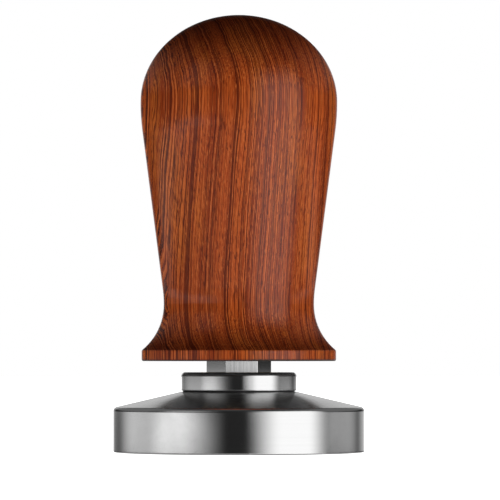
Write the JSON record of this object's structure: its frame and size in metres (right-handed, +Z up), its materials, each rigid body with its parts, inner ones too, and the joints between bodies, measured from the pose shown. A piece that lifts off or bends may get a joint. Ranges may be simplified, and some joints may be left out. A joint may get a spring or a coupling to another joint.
{
  "type": "espresso tamper",
  "caption": "Spring-loaded espresso tamper: round steel base and collar on a hexagonal stem, with a turned hardwood grip that slides down it.",
  "frame": {"origin": "centre of the tamping face", "axes": "+Z up along the tamper's axis, from the tamping face to the crown of the handle; two flats of the stem face +Y and -Y"},
  "size_m": [0.058, 0.058, 0.101],
  "materials": {
    "polished_steel": "mirror-polished stainless steel",
    "satin_steel": "fine-turned or drawn stainless steel",
    "spring_steel": "drawn spring wire, ground ends",
    "black_oxide": "black-oxide steel",
    "brass": "turned brass",
    "black_rubber": "matt",
    "hardwood": "satin-lacquered rosewood"
  },
  "bodies": {
    "foot": {"base": "polished_steel", "collar_gasket": "black_rubber", "collar": "polished_steel", "stem": "satin_steel", "stop_washer": "satin_steel", "lock_washer": "black_oxide", "stop_screw": "black_oxide", "spring": "spring_steel"},
    "grip": {"handle": "hardwood", "spring_housing": "black_oxide", "guide_nut": "brass", "bumper_ring": "black_rubber", "spring_seat": "satin_steel", "preload_plug": "brass", "preload_lock_ring": "brass", "housing_screw_1": "black_oxide", "housing_screw_2": "black_oxide", "housing_screw_3": "black_oxide"}
  },
  "joints": [
    {"name": "press", "type": "slide", "parent": "foot", "child": "grip", "axis": [0, 0, -1], "range_m": [0, 0.00255], "stiffness_N_per_m": 11500, "springref_m": -0.00905, "deforming": ["spring"]}
  ]
}
